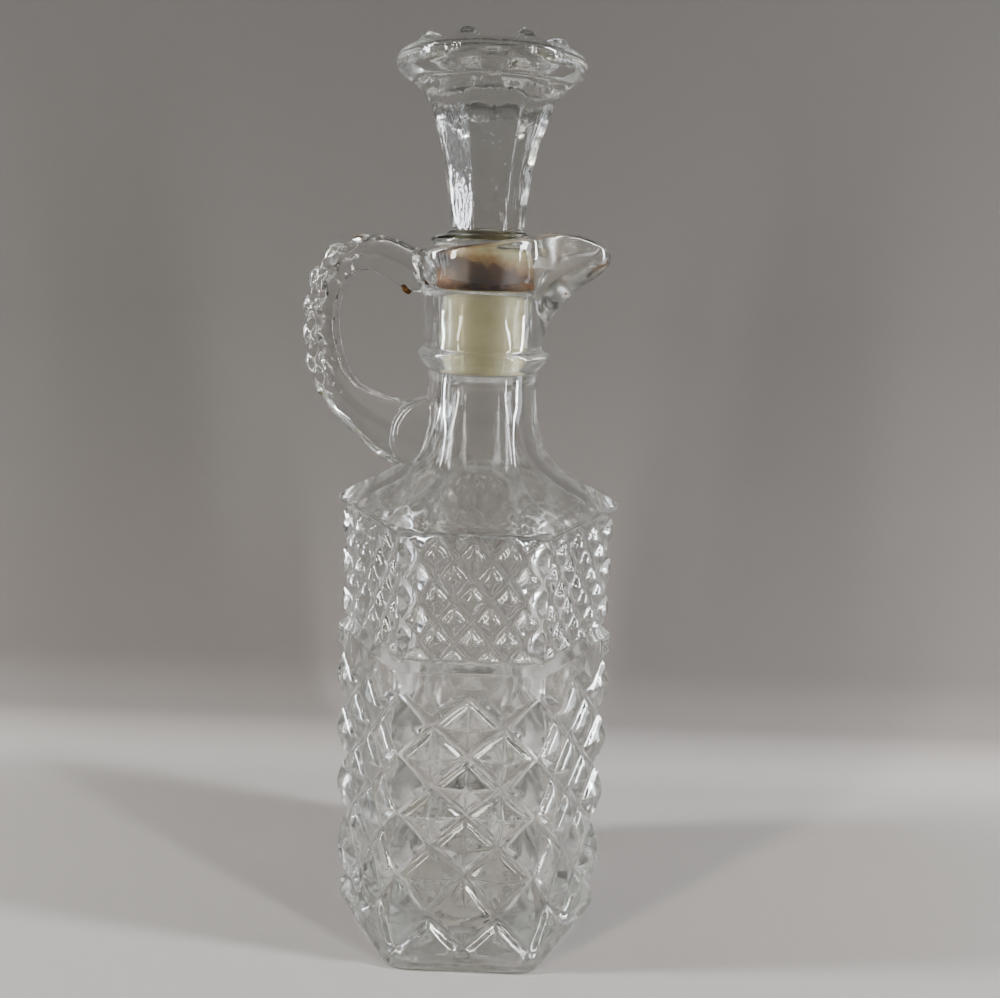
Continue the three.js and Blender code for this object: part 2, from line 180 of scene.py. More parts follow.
class Columns:
    """Directions of the hexagonal body's columns, n to a face."""

    def __init__(self, n):
        u = -SIDE / 2 + np.arange(n) * SIDE / n
        a = np.arctan2(u, FACE)
        self.n = n
        self.u = np.tile(u, 6)
        self.cosr = np.tile(np.cos(a), 6)
        self.th = np.concatenate([(60 * f + 30) * D + a for f in range(6)])
        self.deg = np.abs(np.arctan2(np.sin(self.th), np.cos(self.th))) / D

    def ring(self, r, z):
        r = np.broadcast_to(r, self.th.shape)
        z = np.broadcast_to(z, self.th.shape)
        return np.stack([r * np.cos(self.th), r * np.sin(self.th), z], axis=1)

    def hex(self, apothem, z):
        return self.ring(apothem / self.cosr, z)

    def blend(self, r, w, z):
        return self.ring(r * (w * C30 / self.cosr + 1 - w), z)

    def softened(self, r, w, z, n):
        """As blend, with the corners rounded; n is large for sharp corners."""
        a = np.arccos(self.cosr)
        g = (np.cos(a) ** n + np.cos(math.pi / 3 - a) ** n) ** (-1 / n)
        return self.ring(r * (w * C30 * g + 1 - w), z)


def fold(x):
    return np.abs(x - 2 * np.round(x / 2))


def lattice(p, q):
    return np.minimum(fold(p + q), fold(p - q))


def large_profile(m):
    """Height share over a large diamond: rounded groove, steep bevel, then a pillowed pyramid."""
    return np.interp(m, [0, 0.0625, 0.125, 0.1875, 0.25, 0.3125, 0.375, 0.5, 0.625, 0.75, 0.875, 1.0],
                     [0, 0.02, 0.10, 0.25, 0.38, 0.475, 0.54, 0.65, 0.755, 0.855, 0.94, 0.985])


def small_profile(m):
    """Height share over a small diamond: broad rounded groove, then the pyramid."""
    return np.interp(m, [0, 1 / 7, 2 / 7, 3 / 7, 4 / 7, 5 / 7, 6 / 7, 1.0], [0, 0.0, 0.05, 0.50, 0.67, 0.82, 0.94, 0.98])


def foot(z):
    """Apothem of the plain foot, a little wider at the very bottom."""
    return FOOT + (PLAIN - FOOT) * min(1, max(0, (z - 6) / 10)) + 0.85 * max(0, 1 - z / 4.6) ** 2


def lower(u, z):
    p = u / (SIDE / 4)
    q = float(pchip(LOWER_Q, z))
    m = lattice(p, q)
    near = np.abs(p - (2 * np.floor(p / 2) + 1))
    plain = (near + abs(q - LOWER_ROWS) < 0.999) | (near + abs(q) < 0.999) | (q >= LOWER_ROWS) | (q <= 0)
    face = PLAIN if q > 4 else foot(z)
    border = LOWER_PEAK - LOWER_DEPTH + LOWER_DEPTH * np.interp(m, [0, 0.0625, 0.125, 0.1875, 0.25, 0.3125, 0.375, 0.45],
                                                                 [0, 0.04, 0.15, 0.31, 0.49, 0.64, 0.76, 0.9])
    soft = face - 0.10 * np.log1p(np.exp((face - border) / 0.10)) + 0.10 * math.log(2) * np.exp(-np.abs(face - border) / 0.2)
    return np.where(plain, np.minimum(face, soft), LOWER_PEAK - LOWER_DEPTH * (1 - large_profile(m)))


def upper(u, z):
    m = lattice(u / (SIDE / 8), (z - UPPER_Z0) / UPPER_B)
    k = np.clip((np.abs(u) - 12.5) / 4.5, 0, 1)
    k = k * k * (3 - 2 * k)
    return UPPER_PEAK - 0.25 * k - (UPPER_DEPTH - 0.85 * k) * (1 - small_profile(m))


def outline(th, r, x, t):
    """Plan of the lip or mouth: a circle with a narrowing spout on +X."""
    a = np.abs(np.arctan2(np.sin(th), np.cos(th)))
    r, x, t = (np.broadcast_to(np.asarray(v, float), a.shape) for v in (r, x, t))
    c = np.maximum(x - t, 1e-6)
    al = np.arccos(np.clip((r - t) / c, -1, 1))
    be = np.arctan2(t * np.sin(al), c + t * np.cos(al))
    tip = c * np.cos(a) + np.sqrt(np.maximum(0, t * t - (c * np.sin(a)) ** 2))
    s = np.sin(np.pi * np.clip((al - a) / np.maximum(al - be, 1e-6), 0, 1))
    flank = r / np.cos(np.clip(al - a, 0, 1.5)) - 0.09 * (x - r) * s * s
    out = np.where(a >= al, r, np.where(a <= be, tip, flank))
    return np.where(x <= r + 0.02, r, out)


def rim_z(c):
    return pchip(RIM_Z, c.deg)


def lip_r(c, z):
    return outline(c.th, pchip(LIP_R, z), pchip(LIP_X, z), pchip(LIP_T, z))


def mouth_r(c, z):
    return outline(c.th, pchip(MOUTH_R, z), pchip(MOUTH_X, z), pchip(MOUTH_T, z))


class Skin:
    """A closed surface from rows of points, whose column count may halve or double between rows."""

    def __init__(self, pole):
        self.v = [np.array([pole], float)]
        self.count = 1
        self.rows = []
        self.f = []

    def add(self, row, pick=None):
        start = self.count
        self.v.append(np.asarray(row, float))
        self.count += len(row)
        n = len(row)
        b = start + np.arange(n)
        if not self.rows:
            nb = np.roll(b, -1)
            self.f += [(0, int(y), int(x)) for x, y in zip(b, nb)]
        else:
            a = self.rows[-1]
            na, nb = np.roll(a, -1), np.roll(b, -1)
            if len(a) == n:
                if pick is None:
                    self.f += list(zip(a.tolist(), na.tolist(), nb.tolist(), b.tolist()))
                else:
                    for k in range(n):
                        w, x, y, z = int(a[k]), int(na[k]), int(nb[k]), int(b[k])
                        self.f += [(w, x, y), (w, y, z)] if pick[k] else [(w, x, z), (x, y, z)]
            elif len(a) == 2 * n:
                for k in range(n):
                    x, y, z = int(a[2 * k]), int(a[2 * k + 1]), int(a[(2 * k + 2) % len(a)])
                    p, q = int(b[k]), int(nb[k])
                    self.f += [(x, y, p), (y, z, q), (y, q, p)]
            else:
                for k in range(len(a)):
                    x, y = int(a[k]), int(na[k])
                    p, q, r = int(b[2 * k]), int(b[2 * k + 1]), int(b[(2 * k + 2) % n])
                    self.f += [(x, y, q), (x, q, p), (y, r, q)]
        self.rows.append(b)

    def end(self, pole):
        last = self.count
        self.v.append(np.array([pole], float))
        self.count += 1
        b = self.rows[-1]
        self.f += [(last, int(x), int(y)) for x, y in zip(b, np.roll(b, -1))]
        return np.concatenate(self.v), self.f


def to_object(name, verts, faces, sharp=math.radians(70)):
    """A mesh object from millimetre points, smooth shaded with creases over the sharp angle."""
    mesh = bpy.data.meshes.new(name)
    mesh.from_pydata((np.asarray(verts) * MM).tolist(), [], faces)
    mesh.validate(verbose=False)
    mesh.update()
    mesh.shade_smooth()
    if sharp is not None:
        mesh.set_sharp_from_angle(angle=sharp)
    o = bpy.data.objects.new(name, mesh)
    bpy.context.scene.collection.objects.link(o)
    return o


def boolean(target, other, operation):
    """Joins or cuts target by other, then removes other."""
    mod = target.modifiers.new("b", "BOOLEAN")
    mod.operation = operation
    mod.object = other
    mod.solver = "MANIFOLD"
    dg = bpy.context.evaluated_depsgraph_get()
    mesh = bpy.data.meshes.new_from_object(target.evaluated_get(dg), depsgraph=dg)
    old = target.data
    target.modifiers.clear()
    target.data = mesh
    bpy.data.meshes.remove(old)
    used = other.data
    bpy.data.objects.remove(other)
    bpy.data.meshes.remove(used)


# ------------------------------------------------------------------ bottle
def by_arc(table, step, z0, z1):
    """Heights between z0 and z1 spaced so that a profile r(z) is sampled evenly along its length."""
    z = np.linspace(z0, z1, 900)
    return resample(np.stack([z, pchip(table, z)], axis=1), step)[:, 0]


def inner_rows(c, grow=0.0, wave=0.0):
    """Rows of the hollow from the ledge down to the floor."""
    rows = []
    for r, z in ((11.6, 161.7), (11.2, 161.35), (10.8, 160.95), (10.5, 160.4), (10.35, 159.7), (10.3, 158), (10.3, 154), (10.3, 150),
                 (10.3, 146), (10.3, 143.2), (10.15, 142.5), (9.7, 142.0), (9.1, 141.4), (8.6, 140.7), (8.25, 140.0)):
        rows.append(c.ring(r + grow, z))
    for z in by_arc(INSIDE_R, 1.7, 139.4, 6.5):
        w = float(pchip(INSIDE_W, z))
        row = c.softened(float(pchip(INSIDE_R, z)) + grow, w, z, 12)
        if wave:
            fade = float(np.interp(z, [6, 12, 66, 78, 108, 118, 128], [0, 1, 1, 0.5, 0.4, 0.2, 0]))
            row[:, :2] *= (1 + wave * fade * wavy(row) / np.maximum(8, np.hypot(row[:, 0], row[:, 1])))[:, None]
        rows.append(row)
    for r, z in ((14.0, 6.85), (11.0, 7.5), (8.0, 8.25), (5.0, 8.85), (2.4, 9.15)):
        row = c.ring(r, z - grow)
        row[:, 2] += 0.5 * (1 if wave else 0) * wavy(row, 4.0) * r / 14
        rows.append(row)
    return rows


def bottle_mesh():
    few, mid_set, many = Columns(14), Columns(28), Columns(56)
    s = Skin((0, 0, 0.95))
    rays = 1 - np.abs((mid_set.th / math.pi * 12) % 2 - 1)
    for r, dip in ((1.2, 0.1), (3, 0.35), (6, 0.6), (9, 0.75), (12, 0.85), (15, 0.85), (18, 0.8), (20.5, 0.65), (22.5, 0.35)):
        s.add(mid_set.ring(r, 0.98 - dip * rays))
    for a, z in ((22.6, 0.95), (23.6, 0.80), (24.6, 0.45), (25.6, 0.12), (26.2, 0.0)):
        s.add(mid_set.softened(a / C30, 1, z, 24))
    for a, z in ((27.4, 0.0), (28.9, 0.0), (29.6, 0.06), (30.1, 0.28), (30.4, 0.62), (30.5, 1.0), (30.42, 1.5)):
        s.add(many.softened(a / C30, 1, z, 26))
    for z, n in ((2.2, 32), (3.0, 45), (3.9, 80)):
        s.add(many.softened(foot(z) / C30, 1, z, n))

    def relief(fn, unit, table, first, last, sub):
        us = many.u
        du = SIDE / 56
        back = [(q, z) for z, q in table]
        old = None
        for i in range(int(first * sub), int(last * sub) + 1):
            q = i / sub
            z = float(pchip(back, q))
            pick = None
            if old is not None:
                m = lambda u, v: lattice(u / unit, v)
                mid = m(us + du / 2, (q + old) / 2)
                d1 = np.abs((m(us, old) + m(us + du, q)) / 2 - mid)
                d2 = np.abs((m(us + du, old) + m(us, q)) / 2 - mid)
                pick = d1 < d2 - 1e-9
            row = many.hex(fn(us, z), z)
            row[:, :2] *= (1 + 0.07 * wavy(row, 2.0) / 30)[:, None]
            s.add(row, pick)
            old = q

    relief(lower, SIDE / 4, LOWER_Q, 0, LOWER_ROWS, 14)
    for z in (72.2, 74.0, 75.6, 76.6):
        s.add(many.hex(PLAIN, z))
    low = UPPER_PEAK - UPPER_DEPTH
    for a, z in ((29.985, 77.15), (29.9, 77.35), (29.65, 77.6), (low + 0.55, 78.8), (low + 0.12, 79.25)):
        s.add(many.hex(a, z))
    for z in (79.45, 79.8, 80.1):
        s.add(many.hex(np.minimum(upper(many.u, z), low + (z - 79.4) * 1.9), z))
    relief(upper, SIDE / 8, [(UPPER_Z0 + UPPER_B * k, k) for k in range(UPPER_ROWS + 1)], 2 / 7, UPPER_ROWS, 7)
    last = upper(many.u, UPPER_Z0 + UPPER_B * UPPER_ROWS)
    s.add(many.hex(0.55 * last + 0.45 * 29.6, 109.25))
    s.add(many.hex(0.15 * last + 0.85 * 29.8, 109.55))
    for a, z in ((29.93, 109.95), (29.98, 110.4), (29.9, 110.85), (29.68, 111.2)):
        s.add(many.hex(a, z))
    for z in by_arc(SHOULDER_R, 1.3, 111.5, 141.6):
        w = float(pchip(SHOULDER_W, z))
        row = mid_set.softened(float(pchip(SHOULDER_R, z)), w, z, float(np.interp(z, [111.5, 113.5, 116, 120], [400, 70, 30, 20])))
        fade = min(1, max(0, (z - 112) / 6)) * min(1, max(0, (141 - z) / 5))
        row[:, :2] *= (1 + 0.11 * fade * wavy(row * 0.7, 1.0) / 15)[:, None]
        s.add(row)
    for z in by_arc(RING, 0.3, 141.6, 148.6)[1:]:
        s.add(mid_set.ring(float(pchip(RING, z)), z))
    top = rim_z(mid_set)
    for v in np.linspace(0, 1, 23)[1:]:
        z = 148.6 + v * (top - RIM_ROLL - 148.6)
        row = mid_set.ring(lip_r(mid_set, z), z)
        fade = min(1, v * 4) * 0.18
        row[:, :2] *= (1 + fade * wavy(row * 2.1, 3.0) / 15)[:, None]
        s.add(row)
    z1 = top - RIM_ROLL
    ro, ri = lip_r(mid_set, z1), mouth_r(mid_set, z1)
    for k in range(1, 8):
        f = math.pi * k / 8
        s.add(mid_set.ring((ro + ri) / 2 + (ro - ri) / 2 * math.cos(f), z1 + RIM_ROLL * math.sin(f)))
    for v in np.linspace(1, 0, 14):
        z = BORE_TOP + v * (z1 - BORE_TOP)
        row = mid_set.ring(mouth_r(mid_set, z), z)
        row[:, :2] *= (1 + 0.26 * math.sin(math.pi * v) * wavy(row * 2.2, 6.0) / 15)[:, None]
        s.add(row)
    for row in inner_rows(few, wave=0.34):
        s.add(row)
    return s.end((0, 0, 9.25))


def plug_mesh():
    """The hollow grown a little, which keeps the ends of the handle inside the wall."""
    c = Columns(8)
    s = Skin((0, 0, 8.4))
    for row in reversed(inner_rows(c, grow=0.7)):
        s.add(row)
    for z in (163.5, 166, 169, 172, 178):
        s.add(c.ring(mouth_r(c, z) + 0.9, z))
    return s.end((0, 0, 178))


def handle_mesh():
    path, tan = spline(HANDLE, 8)
    n = len(path)
    length = np.concatenate([[0], np.cumsum(np.linalg.norm(np.diff(path[:, :2], axis=0), axis=1))])
    even = np.linspace(0, length[-1], 180)
    path = np.stack([np.interp(even, length, path[:, i]) for i in range(3)], axis=1)
    tan = np.stack([np.interp(even, length, tan[:, i]) for i in range(2)], axis=1)
    tan /= np.linalg.norm(tan, axis=1)[:, None]
    # half of the section: height share along the outward normal and width share
    half = np.array([(-1, 0), (-1, 0.30), (-0.985, 0.52), (-0.93, 0.66), (-0.80, 0.76), (-0.60, 0.83), (-0.38, 0.89), (-0.18, 0.945),
                     (-0.05, 1.0), (0.06, 0.985), (0.18, 0.94), (0.30, 0.875), (0.42, 0.79), (0.54, 0.69), (0.65, 0.575),
                     (0.75, 0.455), (0.84, 0.33), (0.92, 0.20), (0.975, 0.09), (1, 0)])
    section = np.concatenate([half * np.array([1, -1]), half[1:-1][::-1]])
    st, sy = section[:, 0], section[:, 1]
    reach = np.concatenate([[0], np.cumsum(np.linalg.norm(np.diff(half[::-1] * np.array([4.5, HANDLE_W]), axis=0), axis=1))])
    across = np.interp(np.abs(sy) + 10 * np.maximum(0, -0.05 - st), (half[::-1][:, 1])[:12], reach[:12]) / 3.3
    p = np.sign(sy) * across
    outer = np.clip((2.1 - np.abs(p)) / 0.3, 0, 1) * (st > -0.1)
    normal = np.stack([np.maximum(st + 0.05, 0.02) / 1.05, sy], axis=1)
    normal /= np.linalg.norm(normal, axis=1)[:, None]
    last = None
    s = None
    for i in range(len(path)):
        x, z, h = path[i]
        tx, tz = tan[i]
        ox, oz = tz, -tx
        fade = min(1, max(0, (even[i] - 12) / 5)) * min(1, max(0, (even[-1] - 24 - even[i]) / 8))
        m = lattice(p, np.full_like(p, even[i] / 3.05))
        cut = 1.45 * fade * outer * (1 - np.interp(m, [0, 0.18, 0.45, 1], [0, 0.10, 0.62, 1]))
        d = st * h - cut * normal[:, 0]
        y = sy * HANDLE_W - cut * normal[:, 1]
        last = np.stack([x + d * ox, y, z + d * oz], axis=1)
        last[:, 0] += 0.055 * wavy(last * 4.1, 2.2)
        last[:, 1] += 0.055 * wavy(last * 4.4, 5.1)
        last[:, 2] += 0.055 * wavy(last * 3.8, 7.7)
        if s is None:
            s = Skin(last.mean(axis=0))
        s.add(last)
    return s.end(last.mean(axis=0))


def pad_mesh():
    """Thicker pad on both sides of the handle where it runs into the shoulder."""
    cx, cz = -13.3, 126.8
    n, m = 64, 20
    verts, faces = [], []
    for i in range(n):
        t = 2 * math.pi * i / n
        for j in range(m):
            f = math.pi * (j + 0.5) / m
            rho = math.sin(f) ** 0.35
            y = -6.3 * math.copysign(abs(math.cos(f)) ** 0.6, math.cos(f))
            verts.append((cx + 8.7 * rho * math.cos(t), y, cz + 9.2 * rho * math.sin(t)))
    a, b = len(verts), len(verts) + 1
    verts += [(cx, -6.32, cz), (cx, 6.32, cz)]
    for i in range(n):
        k = (i + 1) % n
        for j in range(m - 1):
            faces.append((i * m + j, k * m + j, k * m + j + 1, i * m + j + 1))
        faces.append((a, k * m, i * m))
        faces.append((b, i * m + m - 1, k * m + m - 1))
    return outside(np.array(verts), faces)


def outside(verts, faces):
    """Turns the faces to point outwards if they don't."""
    v = np.asarray(verts)
    volume = 0.0
    for f in faces:
        a = v[f[0]]
        for j in range(1, len(f) - 1):
            volume += float(np.dot(a, np.cross(v[f[j]], v[f[j + 1]])))
    return (verts, faces) if volume > 0 else (verts, [tuple(reversed(f)) for f in faces])


bottle = to_object("bottle_glass_body", *bottle_mesh(), sharp=None)
grip = to_object("handle_part", *outside(*handle_mesh()), sharp=None)
plug = to_object("plug_part", *outside(*plug_mesh()), sharp=None)
boolean(grip, to_object("pad_part", *pad_mesh(), sharp=None), "UNION")
boolean(grip, plug, "DIFFERENCE")
boolean(bottle, grip, "UNION")
bottle.data.shade_smooth()
bottle.data.set_sharp_from_angle(angle=math.radians(72))


# ------------------------------------------------------------------ stopper
def stopper_mesh():
    per = 14
    a = np.arctan(math.tan(22.5 * D) * (-1 + 2 * np.arange(per) / per))
    th = np.concatenate([(45 * f + TURN) * D + a for f in range(8)])
    cosr = np.tile(np.cos(a), 8)
    x = np.tile(-1 + 2 * np.arange(per) / per, 8)          # -1 at a corner, 0 in the middle of a panel
    c22 = math.cos(22.5 * D)

    def ring(r, z):
        r = np.broadcast_to(r, th.shape)
        z = np.broadcast_to(z, th.shape)
        return np.stack([r * np.cos(th), r * np.sin(th), z], axis=1)

    s = Skin((0, 0, 143.2))
    peg = resample(spline([(1.5, 143.2), (5.4, 143.35), (7.6, 144.2), (8.3, 145.8)], 8)[0], 0.8)
    for r, z in peg:
        s.add(ring(r, z))
    for z in (150, 155, 160, 165, 169.8):
        s.add(ring(8.3, z))
    collar = resample(spline([(8.35, 170.4), (9.6, 170.9), (12.0, 171.25), (12.8, 171.9), (13.0, 172.6), (12.6, 173.3),
                              (11.6, 173.85), (10.3, 174.25), (9.6, 174.6)], 8)[0], 0.35)
    for i, (r, z) in enumerate(collar):
        v = max(0, (i - len(collar) + 8) / 8)
        corner = r * (v * c22 / cosr + 1 - v)
        s.add(ring(corner, z))
    heights = by_arc(STEM, 0.8, 175.0, 207.0)
    ang = np.arccos(cosr)
    round8 = (cosr ** 24 + np.cos(math.pi / 4 - ang) ** 24) ** (-1 / 24)
    for z in heights:
        r = float(pchip(STEM, z))
        dish = 0.36 * min(1, (z - 174.5) / 5) * min(1, max(0, (206.0 - z) / 8))
        row = ring(r * c22 * round8 - dish * (1 - x * x), z)
        row[:, :2] *= (1 + 0.17 * min(1, (z - 174.9) / 3) * wavy(row * np.array([2.6, 2.6, 1.9]), 5.0) / 10)[:, None]
        s.add(row)
    s.add(ring(18.85 * (0.92 * c22 * round8 + 0.08), 207.2))
    head = resample(spline([(19.1, 207.4), (19.95, 208.1), (20.8, 209.0), (21.3, 210.1), (21.4, 211.0), (21.15, 211.9),
                            (20.5, 212.7), (19.6, 213.25), (18.6, 213.5)], 8)[0], 0.35)
    for i, (r, z) in enumerate(head):
        v = 0.8 * max(0, 1 - (i + 1) / 7)
        s.add(ring(r * (v * c22 * round8 + 1 - v), z))
    crest = [(0, 0.0), (4, 0.15), (7, 0.6), (9.5, 1.2), (12.0, 1.85), (14.0, 2.35), (15.6, 2.5), (16.8, 1.9), (17.9, 0.6), (18.6, 0.0)]
    side = np.interp(1 - np.abs(x), [0, 0.1, 0.2, 0.29, 0.36, 0.43, 0.55, 0.7, 1.0], [1, 0.99, 0.93, 0.78, 0.55, 0.3, 0.1, 0.02, 0])
    for r in (18.2, 17.8, 17.4, 16.9, 16.3, 15.6, 14.8, 13.9, 12.9, 11.8, 10.6, 9.4, 8.2, 7.0, 5.8, 4.7, 3.7, 2.8, 1.9, 1.0):
        z = float(np.interp(r, [0, 3.8, 7.6, 11.2, 14.3, 16.6, 18.6], [213.9, 213.7, 213.5, 213.6, 213.7, 213.65, 213.5]))
        z += 1.6 * math.exp(-((r / 2.8) ** 2))
        s.add(ring(r, z + float(pchip(crest, r)) * side))
    return s.end((0, 0, 215.6))


stopper = to_object("stopper_glass_body", *stopper_mesh(), sharp=math.radians(60))


# ------------------------------------------------------------------ sleeve and residue
def around(profile, n, shape=None):
    """A closed ring swept round Z from a closed profile of (r, z)."""
    prof = np.array(profile, float)
    m = len(prof)
    th = np.linspace(0, 2 * math.pi, n, endpoint=False)
    verts = []
    for t in th:
        q = prof if shape is None else shape(prof, t)
        verts += [(r * math.cos(t), r * math.sin(t), z) for r, z in q]
    faces = []
    for i in range(n):
        for j in range(m):
            a, b = i * m + j, i * m + (j + 1) % m
            c, d = ((i + 1) % n) * m + (j + 1) % m, ((i + 1) % n) * m + j
            faces.append((a, d, c, b))
    return outside(np.array(verts), faces)


def sleeve_mesh():
    outer = [(8.62, 143.15), (8.75, 142.98), (9.0, 142.9), (9.4, 142.9), (9.75, 143.02), (9.95, 143.3), (10.0, 143.7)]
    outer += [(10.0, z) for z in (145, 146.5, 148, 149.5, 151, 152.5, 154, 155.5, 157, 158.5, 160, 161.2, 161.9)]
    outer += [(10.06, 162.15), (10.3, 162.28), (10.7, 162.3), (11.05, 162.33), (11.3, 162.5), (11.4, 162.85), (11.42, 164),
              (11.45, 165.5), (11.5, 167), (11.55, 168.3), (11.55, 169.2), (11.45, 169.8), (11.2, 170.25), (10.8, 170.45),
              (10.2, 170.5), (9.4, 170.5), (8.85, 170.45), (8.65, 170.25), (8.6, 169.8)]
    inner = [(8.6, z) for z in (167, 163, 159, 155, 151, 147, 144.5)]

    def shape(prof, t):
        q = prof.copy()
        k = np.where(q[:, 0] > 9.2, 1.0, 0.0)
        bump = 0.05 * np.sin(5 * t + 0.7 * q[:, 1]) + 0.04 * np.sin(11 * t - 0.4 * q[:, 1] + 1) + 0.03 * np.sin(3 * t + 2)
        q[:, 0] += k * (bump - 0.05) * np.clip((172 - q[:, 1]) / 30, 0.4, 1)
        return q

    return around(outer + inner, 144, shape)


sleeve = to_object("sleeve_plastic_tube", *sleeve_mesh(), sharp=math.radians(50))


def crust_mesh():
    """Uneven dried crust on the outside of the sleeve's collar."""
    rng = np.random.default_rng(7)
    ph = rng.uniform(0, 6.28, 12)

    def noise(t, k):
        return sum(math.sin((j + 2) * t + ph[(j + 3 * k) % 12]) / (1 + 0.35 * j) for j in range(7)) / 2.6

    n, m = 200, 20
    verts, faces = [], []
    for i in range(n):
        t = 2 * math.pi * i / n
        lo = 161.75 + 0.18 * noise(t, 0)
        hi = 164.4 + 0.9 * noise(t, 1)
        thick = 0.20 + 0.10 * noise(t, 2)
        for j in range(m):
            f = 2 * math.pi * j / m
            z = (lo + hi) / 2 + (hi - lo) / 2 * math.sin(f)
            base = float(np.interp(z, [161.4, 162.35, 162.8, 166], [11.1, 11.2, 11.46, 11.5]))
            out = max(0.0, math.cos(f))
            lump = 0.10 * math.sin(17 * t + 3.1 * z) * math.sin(9 * t - 2.3 * z + 1)
            r = base - 0.15 + (thick + 0.15 + lump) * (out ** 0.6 if out > 0 else 0)
            verts.append((r * math.cos(t), r * math.sin(t), z))
    for i in range(n):
        for j in range(m):
            a, b = i * m + j, i * m + (j + 1) % m
            c, d = ((i + 1) % n) * m + (j + 1) % m, ((i + 1) % n) * m + j
            faces.append((a, d, c, b))
    return outside(np.array(verts), faces)


crust = to_object("sleeve_residue", *crust_mesh(), sharp=None)


def drip_mesh(cx, cy, cz, rx, ry, rz, tilt, seed):
    """A small uneven dried drop, longer along the tilt direction in XZ."""
    verts, faces = [], []
    n, m = 20, 10
    ct, st = math.cos(tilt), math.sin(tilt)
    for i in range(n):
        t = 2 * math.pi * i / n
        for j in range(1, m):
            f = math.pi * j / m
            k = 1 + 0.16 * math.sin(3 * t + 2 * f + seed) + 0.10 * math.sin(7 * t - 3 * f + 2 * seed)
            x, y, z = k * rx * math.sin(f) * math.cos(t), k * ry * math.sin(f) * math.sin(t), k * rz * math.cos(f)
            verts.append((cx + x * ct - z * st, cy + y, cz + x * st + z * ct))
    a, b = len(verts), len(verts) + 1
    verts += [(cx - rz * st, cy, cz + rz * ct), (cx + rz * st, cy, cz - rz * ct)]
    for i in range(n):
        k = (i + 1) % n
        for j in range(m - 2):
            faces.append((i * (m - 1) + j, k * (m - 1) + j, k * (m - 1) + j + 1, i * (m - 1) + j + 1))
        faces.append((a, k * (m - 1), i * (m - 1)))
        faces.append((b, i * (m - 1) + m - 2, k * (m - 1) + m - 2))
    return outside(np.array(verts), faces)


drip = to_object("handle_residue", *drip_mesh(-18.5, -1.6, 161.35, 0.75, 1.5, 1.35, 0.75, 0.4), sharp=None)
dot = to_object("spout_residue", *drip_mesh(18.3, -2.5, 162.1, 0.28, 0.4, 0.35, 0.3, 2.1), sharp=None)


# ------------------------------------------------------------------ materials
def material(name):
    m = bpy.data.materials.new(name)
    m.use_nodes = True
    nt = m.node_tree
    nt.nodes.clear()
    out = nt.nodes.new("ShaderNodeOutputMaterial")
    bsdf = nt.nodes.new("ShaderNodeBsdfPrincipled")
    nt.links.new(bsdf.outputs["BSDF"], out.inputs["Surface"])
    return m, nt, bsdf, out


def add_noise(nt, co, scale, detail=4.0, rough=0.55, distortion=0.0):
    n = nt.nodes.new("ShaderNodeTexNoise")
    n.inputs["Scale"].default_value = scale
    n.inputs["Detail"].default_value = detail
    n.inputs["Roughness"].default_value = rough
    n.inputs["Distortion"].default_value = distortion
    nt.links.new(co, n.inputs["Vector"])
    return n.outputs["Fac"]


def ramp(nt, fac, stops):
    r = nt.nodes.new("ShaderNodeValToRGB")
    e = r.color_ramp.elements
    while len(e) > 1:
        e.remove(e[-1])
    for i, (pos, col) in enumerate(stops):
        el = e[0] if i == 0 else e.new(pos)
        el.position = pos
        el.color = (*col, 1) if len(col) == 3 else col
    nt.links.new(fac, r.inputs["Fac"])
    return r.outputs["Color"]


def math_node(nt, op, a, b=None, clamp=False):
    n = nt.nodes.new("ShaderNodeMath")
    n.operation = op
    n.use_clamp = clamp
    for i, v in enumerate((a, b)):
        if v is None:
            continue
        if isinstance(v, (int, float)):
            n.inputs[i].default_value = v
        else:
            nt.links.new(v, n.inputs[i])
    return n.outputs[0]


def mix_color(nt, fac, a, b, blend="MIX"):
    n = nt.nodes.new("ShaderNodeMix")
    n.data_type = "RGBA"
    n.blend_type = blend
    for sock, v in ((n.inputs[0], fac), (n.inputs[6], a), (n.inputs[7], b)):
        if isinstance(v, (int, float)):
            sock.default_value = v
        elif isinstance(v, tuple):
            sock.default_value = (*v, 1)
        else:
            nt.links.new(v, sock)
    return n.outputs[2]


def add_bump(nt, bsdf, height, strength, distance):
    b = nt.nodes.new("ShaderNodeBump")
    b.inputs["Strength"].default_value = strength
    b.inputs["Distance"].default_value = distance
    nt.links.new(height, b.inputs["Height"])
    nt.links.new(b.outputs["Normal"], bsdf.inputs["Normal"])


